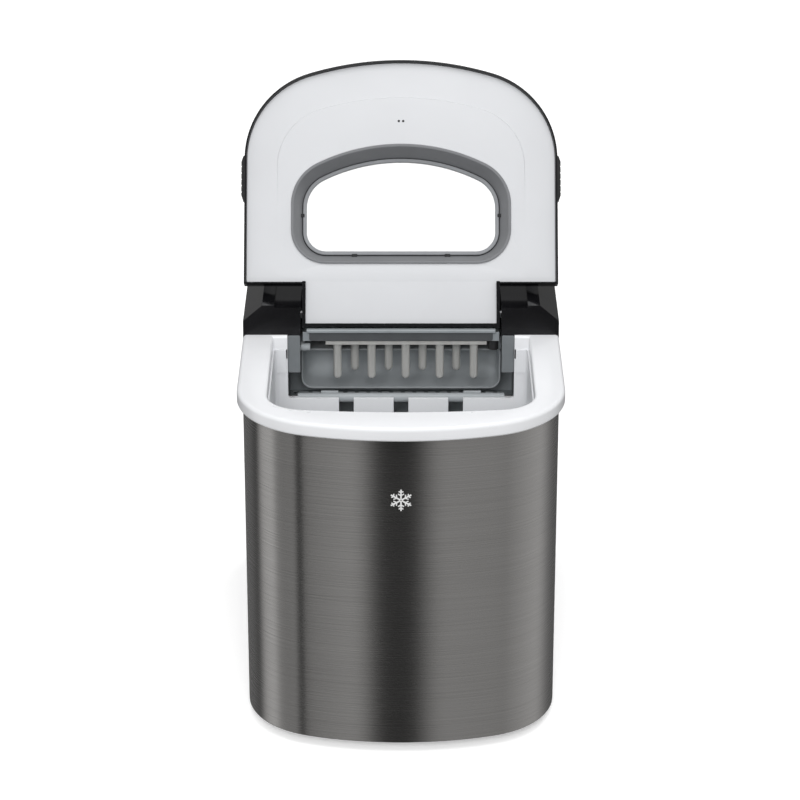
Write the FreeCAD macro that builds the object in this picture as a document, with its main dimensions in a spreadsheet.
import FreeCAD, Part
import math
import os
import Sketcher

# Countertop ice maker with its lid open.  Millimetres, +Z up, the front faces -Y.
# The origin is on the floor under the middle of the machine's bounding box.

os.makedirs("parts", exist_ok=True)
doc = FreeCAD.newDocument("ice_maker")

# ---------------------------------------------------------------- driving dimensions

SIZES = {
    # plan outline shared by collar, wrap, base and lid
    "body_depth": 352, "body_half": 121, "front_radius": 245, "corner_radius": 70,
    # levels
    "foot_height": 8, "rim_height": 267, "collar_height": 10.5, "deck_rise": 22.5,
    # sheet metal wrap and base
    "wrap_inset": 4.5, "wrap_gauge": 1, "base_gap": 0.3, "base_wall": 2.5, "base_height": 18,
    "wrap_rear": 172,
    # collar opening
    "rim_end": 1, "mouth_half": 98, "mouth_front": -145, "mouth_radius": 600, "mouth_corner": 28,
    # liner and the wall between basket and freezing mechanism
    "liner_half": 97, "liner_front": -144, "liner_corner": 30, "liner_wall": 2.5, "liner_floor": 70,
    "divider_front": -2, "doorway_half": 87, "doorway_drop": 52, "slot_width": 11.4,
    "slot_depth": 14, "slot_pitch": 42.2,
    # basket
    "basket_half": 88, "basket_front": -134, "basket_rear": -12, "basket_corner": 26,
    "basket_bottom": 118, "basket_top": 198, "basket_wall": 2,
    # hinge and lid (the lid is drawn closed, about its hinge axis)
    "hinge_y": 22, "hinge_rise": 9, "lid_open_angle": 120.5, "lid_height": 22, "lid_side": 12.8,
    "lid_bevel": 14.7, "lid_wall": 2.2, "lid_notch": -21.9, "strip_half": 76, "strip_end": 11.4,
    "strip_wall": 2.6, "panel_recess": 3.5, "panel_gauge": 2.5, "pin_radius": 3, "pin_play": 0.05,
    "window_half": 84, "window_front": -131, "window_length": 92, "window_arch": 145,
    "window_corner": 35, "window_base": 26, "window_draft": 9, "pane_gauge": 2,
    # rear housing
    "housing_front": 1.2, "shoulder_inner": 77, "deck_bevel_width": 14.7, "deck_bevel_drop": 12,
    "deck_recess": 2.5, "deck_recess_half": 97, "deck_slope_run": 64, "deck_slope_drop": 25.5,
    "shell_wall": 3, "bay_wall": 38.5, "button_x": 35, "button_y": 83, "lens_y": 102, "lens_pitch": 20,
    # freezing mechanism
    "front_row": 12, "row_gap": 16, "finger_pitch": 26.3, "finger_shift": 3.6,
    "finger_radius": 3.2, "finger_length": 29.7, "plate_gauge": 3, "plate_drop": 7.8,
    "plate_left": -58, "plate_right": 66, "cover_gauge": 1.5, "cover_lip_rise": 2.5,
    "mech_half": 88, "mech_wall": 3, "mech_back": 70, "mech_bottom": 190, "mech_top": 256.4,
    # water tray, drawn under the fingers and tipped back, and the ice shovel
    "tray_y": 40, "tray_z": 245, "tray_tip": 90, "tray_half": 78, "tray_reach": 38,
    "tray_depth": 25, "tray_wall": 2, "tray_ear": 6, "shovel_y": 6.5, "shovel_z": 212.5,
    "shovel_length": 22, "shovel_half": 80, "shovel_slope": 14,
    # refrigeration and water
    "can_x": -52, "can_y": 118, "can_radius": 44, "can_height": 132, "can_base": 26,
    "fan_y": 122, "fan_z": 92, "fan_radius": 36, "drain_x": 36, "drain_y": -110,
}


class Size:
    """A length that knows its value and the spreadsheet expression that gives it."""

    def __init__(self, value, text):
        self.value = float(value)
        self.text = text

    def __add__(self, other):
        return Size(self.value + number(other), f"({self.text} + {words(other)})")

    def __radd__(self, other):
        return Size(number(other) + self.value, f"({words(other)} + {self.text})")

    def __sub__(self, other):
        return Size(self.value - number(other), f"({self.text} - {words(other)})")

    def __rsub__(self, other):
        return Size(number(other) - self.value, f"({words(other)} - {self.text})")

    def __mul__(self, factor):
        return Size(self.value * number(factor), f"({self.text} * {words(factor)})")

    def __rmul__(self, factor):
        return self * factor

    def __truediv__(self, factor):
        return Size(self.value / number(factor), f"({self.text} / {words(factor)})")

    def __neg__(self):
        return Size(-self.value, f"(0 - {self.text})")


def number(size):
    return size.value if isinstance(size, Size) else float(size)


def words(size):
    if isinstance(size, Size):
        return size.text
    return f"({size})" if size < 0 else f"{size}"


def bind(item, prop, size):
    """Ties a property to the sheet, or sets it when the size is a plain number."""
    if isinstance(size, Size):
        item.setExpression(prop, size.text)
        return
    if prop.startswith("AttachmentOffset"):
        item.AttachmentOffset = FreeCAD.Placement(FreeCAD.Vector(0, 0, size), FreeCAD.Rotation())
        return
    setattr(item, prop, size)


sheet = doc.addObject("Spreadsheet::Sheet", "Dims")
for row, (alias, value) in enumerate(SIZES.items(), start=1):
    sheet.set(f"A{row}", alias)
    sheet.set(f"B{row}", str(value))
    sheet.setAlias(f"B{row}", alias)
doc.recompute()


class Dims:
    """Reads a driving dimension by name, such as D.rim_height."""

    def __getattr__(self, alias):
        return Size(SIZES[alias], f"Dims.{alias}")


D = Dims()
FRONT = -(D.body_depth / 2)
RIM = D.rim_height
COLLAR_BASE = RIM - D.collar_height
DECK = RIM + D.deck_rise
HINGE_Z = RIM + D.hinge_rise
BUTTON_SPOTS = [(-D.button_x, D.button_y), (D.button_x, D.button_y)]
LENS_SPOTS = [(D.lens_pitch * step, D.lens_y) for step in range(-2, 3)]
SCREW_SPOTS = [(x, z) for x in (-106, 106) for z in (40, 140, 240)]
CORD_EXIT = [(-85, 50)]
DRAIN_SPOT = [(D.drain_x, D.drain_y)]
FLOAT_SPOT = [(-70, -40)]
TRAY_AXIS = [(D.tray_y, D.tray_z)]
SHOVEL_AXIS = [(D.shovel_y, D.shovel_z)]
HINGE_AXIS = [(D.hinge_y, HINGE_Z)]
FAN_AXIS = [(D.fan_y, D.fan_z)]

# ---------------------------------------------------------------- sketch and feature helpers


def new_body(label):
    body = doc.addObject("PartDesign::Body", label)
    body.Label = label
    return body


class Outline:
    """Edges and constraints collected for one sketch and handed over in one go."""

    def __init__(self):
        self.edges = []
        self.rules = []

    def rule(self, size, *terms):
        """Keeps a constraint, and the size that drives it if it has one."""
        if size is None:
            self.rules.append((Sketcher.Constraint(*terms), None))
        else:
            self.rules.append((Sketcher.Constraint(*terms, number(size)), size))

    def pin(self, index, end, x, y):
        """Fixes one end of one edge at (x, y)."""
        self.rule(x, "DistanceX", -1, 1, index, end)
        self.rule(y, "DistanceY", -1, 1, index, end)

    def hand_over(self, sketch):
        sketch.addGeometry(self.edges, False)
        sketch.addConstraint([constraint for constraint, size in self.rules])
        for index, (constraint, size) in enumerate(self.rules):
            if isinstance(size, Size):
                sketch.setExpression(f"Constraints[{index}]", size.text)


def new_sketch(body, plane, offset, draw):
    """A sketch on one of the body's own planes, moved along that plane's normal."""
    sketch = body.newObject("Sketcher::SketchObject", body.Name + "_sketch")
    origin_plane = [item for item in body.Origin.OriginFeatures if item.Role == plane + "_Plane"]
    sketch.AttachmentSupport = [(origin_plane[0], "")]
    sketch.MapMode = "FlatFace"
    bind(sketch, "AttachmentOffset.Base.z", -offset if plane == "XZ" else offset)
    outline = Outline()
    draw(outline)
    outline.hand_over(sketch)
    return sketch


def add_polygon(outline, points):
    first = len(outline.edges)
    corners = [FreeCAD.Vector(number(x), number(y), 0) for x, y in points]
    count = len(corners)
    for index, (x, y) in enumerate(points):
        following = (index + 1) % count
        outline.edges.append(Part.LineSegment(corners[index], corners[following]))
        outline.rule(None, "Coincident", first + index, 2, first + following, 1)
        outline.pin(first + index, 1, x, y)


def add_circle(outline, x, y, radius):
    centre = FreeCAD.Vector(number(x), number(y), 0)
    index = len(outline.edges)
    outline.edges.append(Part.Circle(centre, FreeCAD.Vector(0, 0, 1), number(radius)))
    outline.pin(index, 3, x, y)
    outline.rule(radius, "Radius", index)


def rectangle(x0, y0, x1, y1):
    return [(x0, y0), (x1, y0), (x1, y1), (x0, y1)]


def add_bow(outline, half, front, front_radius, corner_radius, rear, rear_radius):
    """A closed outline with a bowed front, straight sides and rounded rear corners."""
    half_v, front_v, big, small = number(half), number(front), number(front_radius), number(corner_radius)
    rear_v, back = number(rear), number(rear_radius)
    centre_y = front_v + big
    corner_x = half_v - small
    corner_y = centre_y - math.sqrt((big - small) ** 2 - corner_x ** 2)
    meet = math.atan2(corner_y - centre_y, corner_x)
    up = FreeCAD.Vector(0, 0, 1)

    def point(x, y):
        return FreeCAD.Vector(x, y, 0)

    def arc(x, y, radius, start, end):
        return Part.ArcOfCircle(Part.Circle(point(x, y), up, radius), start, end)

    edges = [
        arc(0, centre_y, big, -math.pi - meet, meet),
        arc(corner_x, corner_y, small, meet, 0),
        Part.LineSegment(point(half_v, corner_y), point(half_v, rear_v - back)),
        arc(half_v - back, rear_v - back, back, 0, math.pi / 2),
        Part.LineSegment(point(half_v - back, rear_v), point(back - half_v, rear_v)),
        arc(back - half_v, rear_v - back, back, math.pi / 2, math.pi),
        Part.LineSegment(point(-half_v, rear_v - back), point(-half_v, corner_y)),
        arc(-corner_x, corner_y, small, math.pi, math.pi - meet),
    ]
    first = len(outline.edges)
    outline.edges.extend(edges)
    for index in range(8):
        outline.rule(None, "Tangent", first + index, 2, first + (index + 1) % 8, 1)
    outline.rule(None, "Vertical", first + 2)
    outline.rule(None, "Vertical", first + 6)
    outline.rule(None, "Horizontal", first + 4)
    radii = (front_radius, corner_radius, rear_radius, rear_radius, corner_radius)
    for index, radius in zip((0, 1, 3, 5, 7), radii):
        outline.rule(radius, "Radius", first + index)
    outline.pin(first, 3, 0, front + front_radius)
    outline.rule(half, "DistanceX", -1, 1, first + 2, 1)
    outline.rule(-half, "DistanceX", -1, 1, first + 6, 1)
    outline.rule(rear, "DistanceY", -1, 1, first + 4, 1)


def add_feature(body, kind, sketch, length, forward):
    feature = body.newObject("PartDesign::" + kind, body.Name + "_" + kind.lower())
    feature.Profile = sketch
    bind(feature, "Length", length)
    feature.Reversed = not forward
    sketch.Visibility = False
    return feature


def pad(body, plane, draw, start, end):
    """Adds the drawn outlines between two stations on the axis square to the plane."""
    sketch = new_sketch(body, plane, start, draw)
    return add_feature(body, "Pad", sketch, end - start, plane != "XZ")


def cut(body, plane, draw, start, end):
    """Removes the drawn outlines between two stations on the axis square to the plane."""
    sketch = new_sketch(body, plane, start, draw)
    return add_feature(body, "Pocket", sketch, end - start, plane == "XZ")


def loft(body, kind, draw_low, low, draw_high, high):
    lower = new_sketch(body, "XY", low, draw_low)
    upper = new_sketch(body, "XY", high, draw_high)
    feature = body.newObject("PartDesign::" + kind, body.Name + "_loft")
    feature.Profile = lower
    feature.Sections = [upper]
    feature.Ruled = True
    return feature


def row_of(body, feature, axis, pitch, count):
    """Repeats a feature along one of the body's own axes."""
    pattern = body.newObject("PartDesign::LinearPattern", body.Name + "_row")
    pattern.Originals = [feature]
    pattern.Direction = ([item for item in body.Origin.OriginFeatures if item.Role == axis + "_Axis"][0],
                         [""])
    pattern.Length = pitch * (count - 1)
    pattern.Occurrences = count
    body.Tip = pattern
    return pattern


def revolve(body, points):
    """Turns a profile in the body's XZ plane about its own Z axis."""
    sketch = new_sketch(body, "XZ", 0, polygon(points))
    feature = body.newObject("PartDesign::Revolution", body.Name + "_revolution")
    feature.Profile = sketch
    feature.ReferenceAxis = (sketch, ["V_Axis"])
    feature.Angle = 360
    return feature


def polygon(points):
    return lambda outline: add_polygon(outline, points)


def polygons(shapes):
    def draw(outline):
        for points in shapes:
            add_polygon(outline, points)
    return draw


def circles(centres, radius):
    def draw(outline):
        for x, y in centres:
            add_circle(outline, x, y, radius)
    return draw


def bow(half, front, front_radius, corner_radius, rear, rear_radius=0.5):
    return lambda outline: add_bow(outline, half, front, front_radius, corner_radius, rear, rear_radius)


def body_bow(inset, rear, front=FRONT, rear_radius=0.5):
    """The machine's plan outline, drawn in by an inset."""
    return bow(D.body_half - inset, front + inset, D.front_radius - inset, D.corner_radius - inset,
               rear, rear_radius)


def round_edges(body, radius, wanted, kind="Fillet"):
    """Fillets or chamfers the edges of the body's tip that the test picks."""
    doc.recompute()
    base = body.Tip
    names = []
    for index, edge in enumerate(base.Shape.Edges, start=1):
        if wanted(edge):
            names.append(f"Edge{index}")
    feature = body.newObject("PartDesign::" + kind, body.Name + "_" + kind.lower())
    feature.Base = (base, names)
    bind(feature, "Radius" if kind == "Fillet" else "Size", radius)
    return feature


def at_level(edge, level):
    box = edge.BoundBox
    return abs(box.ZMin - level) < 0.01 and abs(box.ZMax - level) < 0.01


def place(item, x=0, y=0, z=0, turn_x=0):
    """Puts a finished body in the machine, turned about an axis parallel to X."""
    item.Placement = FreeCAD.Placement(
        FreeCAD.Vector(0, 0, 0), FreeCAD.Rotation(FreeCAD.Vector(1, 0, 0), number(turn_x)))
    bind_base(item, x, y, z)


def bind_base(item, x, y, z):
    base = FreeCAD.Vector(number(x), number(y), number(z))
    item.Placement = FreeCAD.Placement(base, item.Placement.Rotation)
    for axis, size in (("x", x), ("y", y), ("z", z)):
        if isinstance(size, Size):
            item.setExpression(f"Placement.Base.{axis}", size.text)


def pipe(label, points, radius, bend):
    """A round tube along straight runs joined by tangent arcs."""
    corners = [FreeCAD.Vector(*[number(value) for value in point]) for point in points]
    edges = []
    here = corners[0]
    for before, corner, after in zip(corners, corners[1:], corners[2:]):
        inward = (before - corner).normalize()
        outward = (after - corner).normalize()
        half_turn = inward.getAngle(outward) / 2
        setback = bend / math.tan(half_turn)
        start = corner + inward * setback
        end = corner + outward * setback
        bisector = (inward + outward).normalize()
        centre = corner + bisector * (bend / math.sin(half_turn))
        middle = centre - bisector * bend
        edges.append(Part.LineSegment(here, start).toShape())
        edges.append(Part.Arc(start, middle, end).toShape())
        here = end
    edges.append(Part.LineSegment(here, corners[-1]).toShape())
    ring = Part.Wire(Part.makeCircle(radius, corners[0], corners[1] - corners[0]))
    tube = doc.addObject("Part::Feature", label)
    tube.Label = label
    tube.Shape = Part.Wire(edges).makePipeShell([ring], True, False)
    return tube


# ---------------------------------------------------------------- casing


def make_base_pan():
    """The floor of the machine, with air vents under the compressor and a well round the drain."""
    body = new_body("base_pan")
    inset = D.wrap_inset + D.wrap_gauge + D.base_gap
    top = D.foot_height + D.base_height
    floor = D.foot_height + 3
    pad(body, "XY", body_bow(inset, D.wrap_rear - 0.2, rear_radius=3), D.foot_height, top)
    cut(body, "XY", body_bow(inset + D.base_wall, D.wrap_rear - 0.2 - D.base_wall), floor, top + 1)
    pad(body, "XY", circles(DRAIN_SPOT, 19), floor - 0.5, floor + 5)
    cut(body, "XY", circles(DRAIN_SPOT, 16), 0, floor + 6)
    vent = cut(body, "XY", polygon(rectangle(-66, 84, 0, 89)), 0, floor + 1)
    row_of(body, vent, "Y", 12, 6)


def make_feet():
    for end, y in (("front", -118), ("rear", 150)):
        for side, x in (("left", -82), ("right", 82)):
            foot = new_body(f"foot_{end}_{side}")
            revolve(foot, [(0, 0), (8, 0), (9.5, 1.5), (11, D.foot_height), (0, D.foot_height)])
            place(foot, x, y, 0)


def make_wrap_panel():
    """The bent steel sheet round the front and both sides, with air slots in each side."""
    body = new_body("wrap_panel")
    top = COLLAR_BASE
    pad(body, "XY", body_bow(D.wrap_inset, D.wrap_rear), D.foot_height, top)
    cut(body, "XY", body_bow(D.wrap_inset + D.wrap_gauge, D.wrap_rear + 9), 0, top + 1)
    louvre = cut(body, "YZ", polygon(rectangle(84, 50, 88, 120)), -125, 125)
    row_of(body, louvre, "Y", 8, 10)


def make_rear_panel():
    body = new_body("rear_panel")
    half = D.body_half - D.wrap_inset - D.wrap_gauge - D.base_gap
    front = D.wrap_rear - 3
    base = D.foot_height + D.base_height + 0.5
    pad(body, "XZ", polygon(rectangle(-half, base, half, COLLAR_BASE - 0.3)), front, D.wrap_rear)
    cut(body, "XZ", circles(CORD_EXIT, 6.1), front - 1, D.wrap_rear + 1)
    cut(body, "XZ", circles(SCREW_SPOTS, 1.6), front - 1, D.wrap_rear + 1)
    grille = polygons([rectangle(-94, level, -90, level + 60) for level in (90, 160)])
    row_of(body, cut(body, "XZ", grille, front - 1, D.wrap_rear + 1), "X", 8, 24)


def make_rear_screws():
    screws = []
    length = 10
    along = FreeCAD.Vector(0, 1, 0)
    for x, z in SCREW_SPOTS:
        start = FreeCAD.Vector(x, D.wrap_rear.value - length, z)
        recess_y = start.y + length + 1.2
        shank = Part.makeCylinder(1.5, length, start, along)
        head = Part.makeCone(3.2, 2.4, 2, start + along * length, along)
        drive = Part.makeBox(3.6, 1, 0.7, FreeCAD.Vector(x - 1.8, recess_y, z - 0.35))
        cross = Part.makeBox(0.7, 1, 3.6, FreeCAD.Vector(x - 0.35, recess_y, z - 1.8))
        screws.append(shank.fuse(head).cut(drive).cut(cross))
    group = doc.addObject("Part::Feature", "rear_screws")
    group.Label = "rear_screws"
    group.Shape = Part.makeCompound(screws)


def make_cord_gland():
    body = new_body("cord_gland")
    back = D.wrap_rear
    pad(body, "XZ", circles(CORD_EXIT, 6), back - 8, back + 0.1)
    pad(body, "XZ", circles(CORD_EXIT, 9), back, back + 3)
    cut(body, "XZ", circles(CORD_EXIT, 3.6), back - 9, back + 4)


def make_collar():
    """The thick rim on top of the sheet, round the opening over the basket."""
    body = new_body("collar")
    skirt = D.wrap_inset + D.wrap_gauge + 1
    pad(body, "XY", body_bow(0, D.rim_end), COLLAR_BASE, RIM)
    pad(body, "XY", body_bow(skirt, D.rim_end), COLLAR_BASE - 8, COLLAR_BASE + 1)
    cut(body, "XY", body_bow(skirt + 2.5, 60), COLLAR_BASE - 9, COLLAR_BASE)
    mouth = bow(D.mouth_half, D.mouth_front, D.mouth_radius, D.mouth_corner, D.divider_front)
    cut(body, "XY", mouth, COLLAR_BASE - 9, RIM + 1)
    doorway = rectangle(-D.doorway_half, D.divider_front - 2, D.doorway_half, D.rim_end + 1)
    cut(body, "XY", polygon(doorway), COLLAR_BASE - 9, RIM + 1)
    round_edges(body, 2.2, lambda edge: at_level(edge, RIM.value) and outside_bow(edge, 0.5))


def outside_bow(edge, margin):
    """Whether an edge lies on the outer outline, ahead of the rear end."""
    middle = edge.valueAt((edge.FirstParameter + edge.LastParameter) / 2)
    ahead = middle.y < D.rim_end.value - margin
    return ahead and (abs(middle.x) > 119 or middle.y < -150)


def make_liner():
    """The basin that holds the water and the basket, with a doorway in its rear wall."""
    body = new_body("liner")
    wall = D.liner_wall
    top = COLLAR_BASE - 0.2
    rear = D.divider_front + 3
    pad(body, "XY", bow(D.liner_half + wall, D.liner_front - wall, D.mouth_radius + wall,
                        D.liner_corner + wall, rear), D.liner_floor - wall, top)
    pad(body, "XY", bow(D.liner_half + 8, D.liner_front - 8, D.mouth_radius + 8,
                        D.liner_corner + 8, rear), top - 2, top)
    cut(body, "XY", bow(D.liner_half, D.liner_front, D.mouth_radius, D.liner_corner,
                        D.divider_front, 4), D.liner_floor, top + 1)
    sill = RIM - D.doorway_drop
    doorway = rectangle(-D.doorway_half, sill, D.doorway_half, RIM)
    cut(body, "XZ", polygon(doorway), D.divider_front - 1, rear + 1)
    slots = [rectangle(D.slot_pitch * step - D.slot_width / 2, sill - D.slot_depth,
                       D.slot_pitch * step + D.slot_width / 2, sill + 1) for step in (-1, 0, 1)]
    cut(body, "XZ", polygons(slots), D.divider_front - 1, rear + 1)
    for side in (-1, 1):
        ledge = [(D.liner_half * side, D.basket_bottom - 6), (D.liner_half * side, D.basket_bottom - 0.3),
                 ((D.basket_half - 4) * side, D.basket_bottom - 0.3), ((D.basket_half + 4) * side,
                                                                     D.basket_bottom - 6)]
        pad(body, "XZ", polygon(ledge), -108, -30)
    cut(body, "XY", circles(DRAIN_SPOT, 4), D.liner_floor - 4, D.liner_floor + 1)


def make_rear_housing():
    """The cover behind the lid: two shoulders, a deck for the controls, and a fall towards the rear."""
    body = new_body("rear_housing")
    half = D.body_half
    base = COLLAR_BASE + 0.3
    shoulder = half - D.deck_bevel_width
    section = [(-half, base), (half, base), (half, DECK - D.deck_bevel_drop), (shoulder, DECK),
               (-shoulder, DECK), (-half, DECK - D.deck_bevel_drop)]
    rear = D.body_depth / 2
    front = D.housing_front
    pad(body, "XZ", polygon(section), front, rear)
    slope_start = rear - D.deck_slope_run
    slope_end = DECK - D.deck_slope_drop
    rear_slope = [(slope_start, DECK), (rear, slope_end), (rear + 1, slope_end), (rear + 1, DECK + 1),
                  (slope_start, DECK + 1)]
    cut(body, "YZ", polygon(rear_slope), -half - 1, half + 1)
    # the shoulders lean back so that the lid's side pieces can swing past them
    lean = [(front - 1, RIM), (front, RIM), (front + 4, DECK), (front + 4, DECK + 1),
            (front - 1, DECK + 1)]
    cut(body, "YZ", polygon(lean), -half - 1, half + 1)
    bay = [(front - 1, base - 1), (D.bay_wall, base - 1), (D.bay_wall, RIM + 4),
           (D.bay_wall + 8.5, DECK), (D.bay_wall + 8.5, DECK + 1), (front - 1, DECK + 1)]
    cut(body, "YZ", polygon(bay), -D.shoulder_inner, D.shoulder_inner)
    recess = rectangle(-D.deck_recess_half, 0, D.deck_recess_half, slope_start - 3)
    cut(body, "XY", polygon(recess), DECK - D.deck_recess, DECK + 1)
    # hollow underside
    inside = half - D.shell_wall
    roof = DECK - D.deck_recess - D.shell_wall
    ceiling = [(D.bay_wall + 3.5, base - 1), (D.bay_wall + 3.5, RIM + 3), (D.bay_wall + 11.5, roof),
               (slope_start, roof), (rear - D.shell_wall, slope_end - D.shell_wall + 1),
               (rear - D.shell_wall, base - 1)]
    cut(body, "YZ", polygon(ceiling), -shoulder, shoulder)
    for side in (-1, 1):
        hollow = rectangle(side * (D.shoulder_inner + D.shell_wall), base - 1, side * shoulder, roof)
        cut(body, "XZ", polygon(hollow), front + 7, D.bay_wall + 5)
    eave = [(front + 7, base - 1), (front + 7, DECK - 14), (slope_start, DECK - 14),
            (rear - D.shell_wall, slope_end - D.shell_wall + 1), (rear - D.shell_wall, base - 1)]
    cut(body, "YZ", polygon(eave), -inside, 1 - shoulder)
    cut(body, "YZ", polygon(eave), shoulder - 1, inside)
    # hinge pin seats, button holes, lens holes
    cut(body, "YZ", circles(HINGE_AXIS, D.pin_radius), -half + 30, half - 30)
    cut(body, "XY", circles(BUTTON_SPOTS, 9.3), roof - 1, DECK + 1)
    cut(body, "XY", circles(LENS_SPOTS, 2.6), roof - 1, DECK + 1)


def make_hinge_pins():
    for side, name in ((-1, "left"), (1, "right")):
        body = new_body("hinge_pin_" + name)
        start = D.strip_half - D.strip_wall + 0.5
        reach = D.shoulder_inner + D.shell_wall + 3
        ends = (start, reach) if side > 0 else (-reach, -start)
        pad(body, "YZ", circles(HINGE_AXIS, D.pin_radius), *ends)
        head = (reach, reach + 1.5) if side > 0 else (-reach - 1.5, -reach)
        pad(body, "YZ", circles(HINGE_AXIS, 5), *head)


def make_controls():
    deck = DECK - D.deck_recess
    overlay = new_body("control_overlay")
    pad(overlay, "XY", bow(78, 60, 2000, 8, 108.5, 8), deck, deck + 1.2)
    cut(overlay, "XY", circles(BUTTON_SPOTS, 9.3), deck - 1, deck + 2)
    cut(overlay, "XY", circles(LENS_SPOTS, 2.6), deck - 1, deck + 2)
    for name, (x, y) in zip(("power_button", "select_button"), BUTTON_SPOTS):
        button = new_body(name)
        revolve(button, [(0, -8.5), (5, -8.5), (5, -5), (9, -5), (9, 1.6), (8.2, 2.2), (0, 1.9)])
        place(button, x, y, deck)
    lens_shapes = []
    for x, y in LENS_SPOTS:
        base = FreeCAD.Vector(number(x), number(y), deck.value - 3)
        lens_shapes.append(Part.makeCylinder(2.5, 4.4, base))
    group = doc.addObject("Part::Feature", "indicator_lenses")
    group.Label = "indicator_lenses"
    group.Shape = Part.makeCompound(lens_shapes)
    board = new_body("control_board")
    level = deck - 22
    pad(board, "XY", polygon(rectangle(-60, 66, 60, 128)), level, level + 1.6)
    pad(board, "XY", circles(BUTTON_SPOTS, 4), level + 1, level + 11.5)
    pad(board, "XY", circles(LENS_SPOTS, 2), level + 1, level + 17)
    pad(board, "XY", polygons([rectangle(-12, 72, 12, 90), rectangle(40, 108, 54, 122)]),
        level + 1, level + 7)


# ---------------------------------------------------------------- lid, drawn closed about its hinge axis

LID_FRONT = FRONT - D.hinge_y
LID_LOW = -D.hinge_rise
LID_TOP = LID_LOW + D.lid_height


def place_on_hinge(body):
    place(body, 0, D.hinge_y, HINGE_Z, -D.lid_open_angle)


def lid_bow(inset, rear):
    return body_bow(inset, rear, front=LID_FRONT)


def window_bow(inset):
    return bow(D.window_half - inset, D.window_front + inset, D.window_arch - inset,
               D.window_corner - inset, D.window_front + D.window_length - inset,
               D.window_base - inset)


def make_lid_shell():
    """The lid's outer dish, and the hollow strip at its rear that carries the hinge."""
    body = new_body("lid_shell")
    notch = D.lid_notch
    side_top = LID_LOW + D.lid_side
    wall = D.lid_wall
    roof = LID_TOP - wall
    pad(body, "XY", lid_bow(0, notch), LID_LOW, side_top)
    loft(body, "AdditiveLoft", lid_bow(0, notch), side_top, lid_bow(D.lid_bevel, notch), LID_TOP)
    strip = D.strip_half
    end = D.strip_end
    pad(body, "YZ", polygon([(-60, LID_LOW), (end, LID_LOW), (end, 1), (end - 1.6, 6.5),
                             (end - 5.6, 11), (end - 11.4, LID_TOP), (-60, LID_TOP)]), -strip, strip)
    cut(body, "XY", lid_bow(wall, notch - wall), LID_LOW - 1, side_top)
    loft(body, "SubtractiveLoft", lid_bow(wall, notch - wall), side_top,
         lid_bow(D.lid_bevel + 1, notch - wall), roof)
    inner = strip - D.strip_wall
    cut(body, "YZ", polygon([(-62, LID_LOW - 1), (end - wall, LID_LOW - 1), (end - wall, 1),
                             (end - 8, roof - 4), (end - 14, roof), (-62, roof)]), -inner, inner)
    for low, high in ((-D.body_half - 1, -strip), (strip, D.body_half + 1)):
        corner = [(notch + 1, LID_TOP - 4), (notch + 1, LID_TOP + 1), (notch - 5, LID_TOP + 1),
                  (notch, LID_TOP - 4)]
        cut(body, "YZ", polygon(corner), low, high)
    cut(body, "XY", window_bow(D.window_draft - 1), roof - 1, LID_TOP + 1)
    cut(body, "YZ", circles([(0, 0)], D.pin_radius + D.pin_play), -strip - 1, strip + 1)
    place_on_hinge(body)


def make_lid_panel():
    body = new_body("lid_panel")
    low = LID_LOW + D.panel_recess
    high = low + D.panel_gauge
    inset = D.lid_wall + 0.3
    half = D.strip_half - D.strip_wall - 0.3
    pad(body, "XY", lid_bow(inset, D.lid_notch - inset), low, high)
    pad(body, "XY", polygon(rectangle(-half, -60, half, D.strip_end - inset)), low, high)
    pad(body, "XY", bow(97, LID_FRONT + 28, 217, 46, -58), low - 0.5, low)
    cut(body, "XY", window_bow(-0.2), low - 2, high + 1)
    cut(body, "XY", circles([(-1.5, LID_FRONT + 48), (1.5, LID_FRONT + 48)], 0.8), low - 1, high + 1)
    place_on_hinge(body)


def make_window():
    low = LID_LOW + D.panel_recess
    pane_base = LID_TOP - D.lid_wall - 0.2 - D.pane_gauge
    ring = new_body("window_ring")
    loft(ring, "AdditiveLoft", window_bow(0), low, window_bow(D.window_draft), pane_base)
    loft(ring, "SubtractiveLoft", window_bow(1.8), low, window_bow(D.window_draft + 1.8), pane_base)
    place_on_hinge(ring)
    pane = new_body("window_pane")
    pad(pane, "XY", window_bow(D.window_draft - 4), pane_base, pane_base + D.pane_gauge)
    pad(pane, "XY", window_bow(D.window_draft - 0.6), pane_base + D.pane_gauge - 0.5, LID_TOP - 0.4)
    place_on_hinge(pane)


def make_lid_grips():
    for side, name in ((-1, "left"), (1, "right")):
        body = new_body("lid_grip_" + name)
        profile = [(D.body_half * side, LID_FRONT + 74), (D.body_half * side, LID_FRONT + 112),
                   ((D.body_half + 2.5) * side, LID_FRONT + 106),
                   ((D.body_half + 2.5) * side, LID_FRONT + 80)]
        pad(body, "XY", polygon(profile), LID_LOW + 2.5, LID_LOW + 11)
        place_on_hinge(body)


# ---------------------------------------------------------------- freezing mechanism

PLATE_BASE = RIM - D.plate_drop - D.plate_gauge


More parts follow.
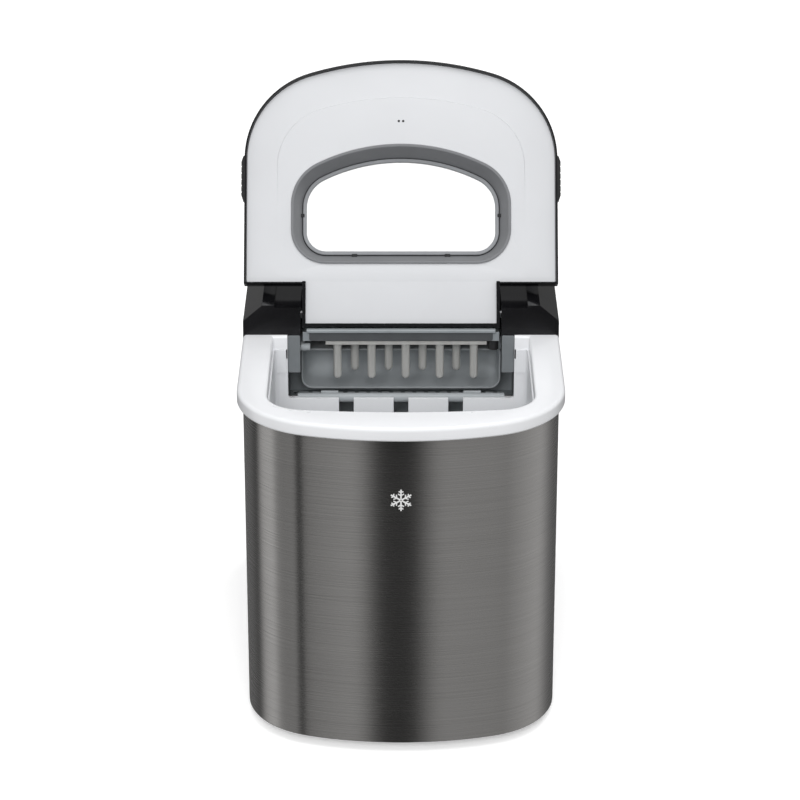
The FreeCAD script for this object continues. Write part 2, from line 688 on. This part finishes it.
def make_mechanism_housing():
    """The open-fronted box behind the doorway, in which the ice is made."""
    body = new_body("mechanism_housing")
    front = D.divider_front + 3.3
    outer = D.mech_half + D.mech_wall
    back = D.mech_back + D.mech_wall
    pad(body, "XY", polygon(rectangle(-outer, front, outer, back)), D.mech_bottom, D.mech_top)
    cut(body, "XY", polygon(rectangle(-D.mech_half, front - 1, D.mech_half, D.mech_back)),
        D.mech_bottom + 1.6, D.mech_top + 1)
    cut(body, "XY", circles([(-84, 66)], 2.5), D.mech_bottom - 1, D.mech_bottom + 3)
    lower_back = rectangle(-outer - 1, D.mech_top - 6.4, outer + 1, D.mech_top + 1)
    cut(body, "XZ", polygon(lower_back), D.mech_back - 30, back + 1)
    cut(body, "YZ", circles(TRAY_AXIS, 5.1), -outer - 1, outer + 1)
    cut(body, "YZ", circles(SHOVEL_AXIS, 2.05), -outer - 1, outer + 1)
    cut(body, "YZ", circles([(D.front_row, D.mech_top - 3.8)], 3), -outer - 1, -D.mech_half + 1)


def make_evaporator():
    """The cold plate, its two rows of fingers, and the cover above them."""
    plate = new_body("evaporator_plate")
    front = D.front_row - 5
    pad(plate, "XY", polygon(rectangle(D.plate_left, front, D.plate_right, front + 26)),
        PLATE_BASE, PLATE_BASE + D.plate_gauge)
    fingers = []
    for row, count in ((0, 5), (1, 4)):
        for index in range(count):
            x = D.finger_shift + D.finger_pitch * (index - (count - 1) / 2)
            y = D.front_row + D.row_gap * row
            radius = D.finger_radius.value
            tip = PLATE_BASE.value - D.finger_length.value
            centre = FreeCAD.Vector(x.value, y.value, tip + radius)
            stem = Part.makeCylinder(radius, PLATE_BASE.value - centre.z, centre)
            fingers.append(stem.fuse(Part.makeSphere(radius, centre)).removeSplitter())
    group = doc.addObject("Part::Feature", "freezing_fingers")
    group.Label = "freezing_fingers"
    group.Shape = Part.makeCompound(fingers)
    cover = new_body("evaporator_cover")
    base = RIM - D.plate_drop
    section = [(4, base), (D.bay_wall, base), (D.bay_wall, base + D.cover_gauge),
               (8.3, base + D.cover_gauge), (8.3, RIM + D.cover_lip_rise), (4, RIM + D.cover_lip_rise)]
    pad(cover, "YZ", polygon(section), -D.strip_half + 0.5, D.strip_half - 0.5)
    for side in (-1, 1):
        edge = rectangle(side * (D.strip_half - D.strip_wall - 1), RIM - 0.4, side * D.strip_half,
                         RIM + 5)
        cut(cover, "XZ", polygon(edge), 3, 10)


def make_water_tray():
    """The trough that the fingers dip into."""
    body = new_body("water_tray")
    reach = -D.tray_reach
    low = -D.tray_depth
    wall = D.tray_wall
    rim = 4
    bottom = [(reach, rim), (reach, low + 12), (reach + 3.5, low + 3.5), (reach + 12, low),
              (-16, low), (-7.5, low + 3.5), (-4, low + 12), (-4, rim)]
    pad(body, "YZ", polygon(bottom), -D.tray_half, D.tray_half)
    inside = [(reach + wall, rim + 1), (reach + wall, low + 12.6), (reach + 4.9, low + 4.9),
              (reach + 12.6, low + wall), (-16.6, low + wall), (-8.9, low + 4.9),
              (-4 - wall, low + 12.6), (-4 - wall, rim + 1)]
    cut(body, "YZ", polygon(inside), -D.tray_half + 3, D.tray_half - 3)
    for start, end in ((-D.tray_half, -D.tray_half + 3), (D.tray_half - 3, D.tray_half)):
        pad(body, "YZ", circles([(0, 0)], D.tray_ear), start, end)
        cut(body, "YZ", circles([(0, 0)], D.pin_radius), start - 1, end + 1)
    place(body, 0, D.tray_y, D.tray_z, D.tray_tip)


def make_tray_bearings():
    outer = D.mech_half + D.mech_wall
    for side, name in ((-1, "tray_pin"), (1, "tray_drive_shaft")):
        body = new_body(name)
        reach = outer + (2 if side < 0 else 8)
        ends = (D.tray_half - 3, reach) if side > 0 else (-reach, -D.tray_half + 3)
        pad(body, "YZ", circles(TRAY_AXIS, D.pin_radius), *ends)
    for side, name in ((-1, "tray_bush_left"), (1, "tray_bush_right")):
        body = new_body(name)
        flange = D.mech_half - 1.5
        ends = (flange, outer) if side > 0 else (-outer, -flange)
        lip = (flange, D.mech_half) if side > 0 else (-D.mech_half, -flange)
        pad(body, "YZ", circles(TRAY_AXIS, 5), *ends)
        pad(body, "YZ", circles(TRAY_AXIS, 7), *lip)
        cut(body, "YZ", circles(TRAY_AXIS, D.pin_radius + D.pin_play), -outer - 1, outer + 1)
    motor = new_body("tray_gearmotor")
    pad(motor, "YZ", circles(TRAY_AXIS, 17), outer + 0.5, outer + 18)
    pad(motor, "YZ", polygon(rectangle(D.tray_y - 24, D.tray_z - 5, D.tray_y + 24, D.tray_z + 5)),
        outer + 0.5, outer + 2.5)
    cut(motor, "YZ", circles(TRAY_AXIS, D.pin_radius + D.pin_play), outer, outer + 9)


def make_ice_shovel():
    """The toothed flap that pushes fallen ice through the doorway, and the rod it turns on."""
    body = new_body("ice_shovel")
    length = D.shovel_length
    pad(body, "YZ", polygon(rectangle(0, -1, length, 1)), -D.shovel_half, D.shovel_half)
    pad(body, "YZ", circles([(0, 0)], 3.6), -D.shovel_half, D.shovel_half)
    for low, high in ((-62, -48.5), (48.5, 62)):
        pad(body, "YZ", polygon([(2, 0), (10, 0), (7, 4.5), (3, 4.5)]), low, high)
    cut(body, "YZ", circles([(0, 0)], 2), -D.shovel_half - 1, D.shovel_half + 1)
    tooth_gap = cut(body, "XY", polygon(rectangle(-72, length - 8, -69, length + 1)), -2, 2)
    row_of(body, tooth_gap, "X", 9, 17)
    place(body, 0, D.shovel_y, D.shovel_z, -D.shovel_slope)
    rod = new_body("shovel_rod")
    reach = D.mech_half + D.mech_wall + 2
    pad(rod, "YZ", circles(SHOVEL_AXIS, 2), -reach, reach)


def make_ice_sensor():
    body = new_body("ice_full_sensor")
    top = RIM - D.plate_drop
    pad(body, "XY", circles([(71, D.front_row - 2)], 4), top - 7, top)


# ---------------------------------------------------------------- basket, reservoir and water circuit


def make_ice_basket():
    body = new_body("ice_basket")
    wall = D.basket_wall

    def outline(inset):
        return bow(D.basket_half - inset, D.basket_front + inset, 590, D.basket_corner - inset,
                   D.basket_rear - inset, 14 - inset)

    pad(body, "XY", outline(0), D.basket_bottom, D.basket_top)
    pad(body, "XY", outline(-3), D.basket_top - 2, D.basket_top)
    cut(body, "XY", outline(wall), D.basket_bottom + wall, D.basket_top + 1)
    drains = polygons([rectangle(-70, -118 + 22 * rank, -58, -114 + 22 * rank) for rank in range(5)])
    row_of(body, cut(body, "XY", drains, D.basket_bottom - 1, D.basket_bottom + wall + 1), "X", 21, 7)
    slot = polygon(rectangle(-66, D.basket_bottom + 25, -60, D.basket_bottom + 50))
    row_of(body, cut(body, "XZ", slot, D.basket_front - 1, D.basket_front + 12), "X", 12, 11)


def make_water_circuit():
    floor = D.liner_floor
    stem = new_body("float_stem")
    pad(stem, "XY", circles(FLOAT_SPOT, 2.5), floor, floor + 38)
    pad(stem, "XY", circles(FLOAT_SPOT, 4.5), floor + 36, floor + 38)
    float_ring = new_body("water_float")
    pad(float_ring, "XY", circles(FLOAT_SPOT, 10), floor + 1, floor + 15)
    cut(float_ring, "XY", circles(FLOAT_SPOT, 2.6), floor, floor + 16)
    tube = new_body("drain_tube")
    pad(tube, "XY", circles(DRAIN_SPOT, 6), D.foot_height + 8, floor - D.liner_wall)
    pad(tube, "XY", circles(DRAIN_SPOT, 18.5), D.foot_height + 8, D.foot_height + 10)
    cut(tube, "XY", circles(DRAIN_SPOT, 4), 0, floor)
    cap = new_body("drain_cap")
    revolve(cap, [(0, 2), (13, 2), (14.5, 3.5), (14.5, 6), (3.9, 6), (3.9, 16), (3, 18), (0, 18)])
    cut(cap, "XZ", polygons([rectangle(-12, 0, -2.5, 4.5), rectangle(2.5, 0, 12, 4.5)]), -9, 9)
    place(cap, D.drain_x, D.drain_y, D.foot_height)
    seal = new_body("drain_seal")
    revolve(seal, [(4.2, 6), (10, 6), (10, 7.8), (4.2, 7.8)])
    place(seal, D.drain_x, D.drain_y, D.foot_height)
    pump = new_body("water_pump")
    deck = D.foot_height + 3
    pad(pump, "XY", polygon(rectangle(-72, -96, -28, -56)), deck, deck + 20)
    pad(pump, "XY", circles([(-50, -76)], 17), deck + 19, deck + 40)
    pad(pump, "XZ", circles([(-50, deck + 10)], 3.5), -57, -50)
    level = D.mech_top - 3.8
    pipe("water_hose", [(-50, -49.7, 21), (-50, -20, 21), (-107.5, -20, 21), (-107.5, D.front_row, 21),
                        (-107.5, D.front_row, level), (-93, D.front_row, level)], 3.2, 7)
    inlet = new_body("tray_inlet")
    pad(inlet, "YZ", circles([(D.front_row, level)], 3), -92.8, -70)
    cut(inlet, "YZ", circles([(D.front_row, level)], 2), -94, -69)


# ---------------------------------------------------------------- refrigeration


def make_compressor():
    body = new_body("compressor")
    radius = D.can_radius
    tall = D.can_height
    revolve(body, [(0, 0), (radius - 6, 0), (radius, 8), (radius, tall - 26), (radius - 9, tall - 8),
                   (radius - 24, tall - 1), (0, tall)])
    pad(body, "XY", polygon(rectangle(-52, -40, 52, 40)), -1, 2)
    place(body, D.can_x, D.can_y, D.can_base)
    grommets = []
    for x in (-44, 44):
        for y in (-33, 33):
            base = FreeCAD.Vector(D.can_x.value + x, D.can_y.value + y, D.foot_height.value + 3)
            grommets.append(Part.makeCylinder(7, D.can_base.value - 1 - base.z, base))
    group = doc.addObject("Part::Feature", "compressor_grommets")
    group.Label = "compressor_grommets"
    group.Shape = Part.makeCompound(grommets)


def make_condenser():
    body = new_body("condenser")
    tubes = [(x, z) for x in (72, 90) for z in range(38, 150, 21)]
    pad(body, "XZ", circles(tubes, 3.5), 81, 164)
    pad(body, "XY", polygons([rectangle(62, 80, 100, 82.5), rectangle(62, 162.5, 100, 165)]),
        D.foot_height + 3, 158)
    row_of(body, pad(body, "XY", polygon(rectangle(64, 84, 98, 85)), 26, 156), "Y", 5, 16)


def make_fan():
    shroud = new_body("fan_shroud")
    frame = rectangle(D.fan_y - 44.5, D.fan_z - 4, D.fan_y + 44.5, D.fan_z + 4)
    window = rectangle(D.fan_y - 41.5, D.fan_z - 5, D.fan_y + 41.5, D.fan_z + 5)
    pad(shroud, "YZ", polygon(frame), 33, 57)
    cut(shroud, "YZ", polygon(window), 36, 58)
    pad(shroud, "YZ", polygon(rectangle(76, D.foot_height + 3, 168, 150)), 56, 59)
    pad(shroud, "YZ", circles(FAN_AXIS, D.fan_radius + 5), 44, 57)
    cut(shroud, "YZ", circles(FAN_AXIS, D.fan_radius + 2.5), 40, 60)
    cut(shroud, "YZ", circles(FAN_AXIS, 2.6), 32, 37)
    motor = new_body("fan_motor")
    pad(motor, "YZ", circles(FAN_AXIS, 15), 14, 33)
    pad(motor, "YZ", circles(FAN_AXIS, 2), 32, 50)
    rotor = new_body("fan_rotor")
    pad(rotor, "YZ", circles([(0, 0)], 11), 0, 14)
    blade = [(1, -7), (2.4, -8.2), (13, 7), (11.6, 8.2)]
    first = pad(rotor, "XY", polygon(blade), 9, D.fan_radius)
    spin = rotor.newObject("PartDesign::PolarPattern", "fan_rotor_blades")
    spin.Originals = [first]
    spin.Axis = ([item for item in rotor.Origin.OriginFeatures if item.Role == "X_Axis"][0], [""])
    spin.Angle = 360
    spin.Occurrences = 5
    rotor.Tip = spin
    cut(rotor, "YZ", circles([(0, 0)], 2.05), -1, 12)
    place(rotor, 38.5, D.fan_y, D.fan_z)


def make_refrigerant_lines():
    drier = new_body("filter_drier")
    revolve(drier, [(0, 0), (2, 0), (9, 8), (9, 42), (2, 50), (0, 50)])
    place(drier, 30, 140, 172)
    level = PLATE_BASE - 2.9
    pipe("suction_line", [(-50, 18, level), (-50, 92, level), (-50, 92, 172), (-52, 112, 172),
                          (-52, 112, 158.2)], 2.6, 7)
    pipe("discharge_line", [(-70, 128, 159), (-70, 128, 182), (-70, 158, 182), (81, 158, 182),
                            (81, 158, 158.2)], 2.6, 8)
    pipe("capillary_line", [(30, 140, 222.2), (30, 140, level + 1), (58, 140, level + 1),
                            (58, 24, level + 1)], 1.5, 8)
    valve = new_body("hot_gas_valve")
    pad(valve, "XY", polygon(rectangle(-20, 128, 6, 152)), 190, 214)
    pad(valve, "XY", circles([(-7, 140)], 5), 184, 232)


def build():
    make_base_pan()
    make_feet()
    make_wrap_panel()
    make_rear_panel()
    make_rear_screws()
    make_cord_gland()
    make_collar()
    make_liner()
    make_rear_housing()
    make_hinge_pins()
    make_controls()
    make_lid_shell()
    make_lid_panel()
    make_window()
    make_lid_grips()
    make_mechanism_housing()
    make_evaporator()
    make_water_tray()
    make_tray_bearings()
    make_ice_shovel()
    make_ice_sensor()
    make_ice_basket()
    make_water_circuit()
    make_compressor()
    make_condenser()
    make_fan()
    make_refrigerant_lines()
    doc.recompute()


def check_and_write():
    """Refuses a failed feature or a bad shape, then writes one STEP file per piece."""
    for item in doc.Objects:
        if "Invalid" in item.State or "Error" in item.State:
            raise RuntimeError(f"{item.Name}: {item.State}")
        if item.TypeId == "PartDesign::Pocket" and item.BaseFeature is not None:
            if item.BaseFeature.Shape.Volume - item.Shape.Volume < 0.5:
                raise RuntimeError(f"{item.Name} removes nothing")
    pieces = [item for item in doc.Objects if item.TypeId == "PartDesign::Body"]
    pieces += [item for item in doc.Objects if item.TypeId == "Part::Feature"]
    for piece in pieces:
        shape = piece.Shape
        if shape.isNull() or not shape.isValid():
            raise RuntimeError(f"{piece.Label} has no valid shape")
        shape.exportStep(os.path.join("parts", piece.Label + ".step"))
        print(f"{piece.Label}: {len(shape.Solids)} solid(s), {shape.Volume / 1000:.1f} cm3")


build()
check_and_write()
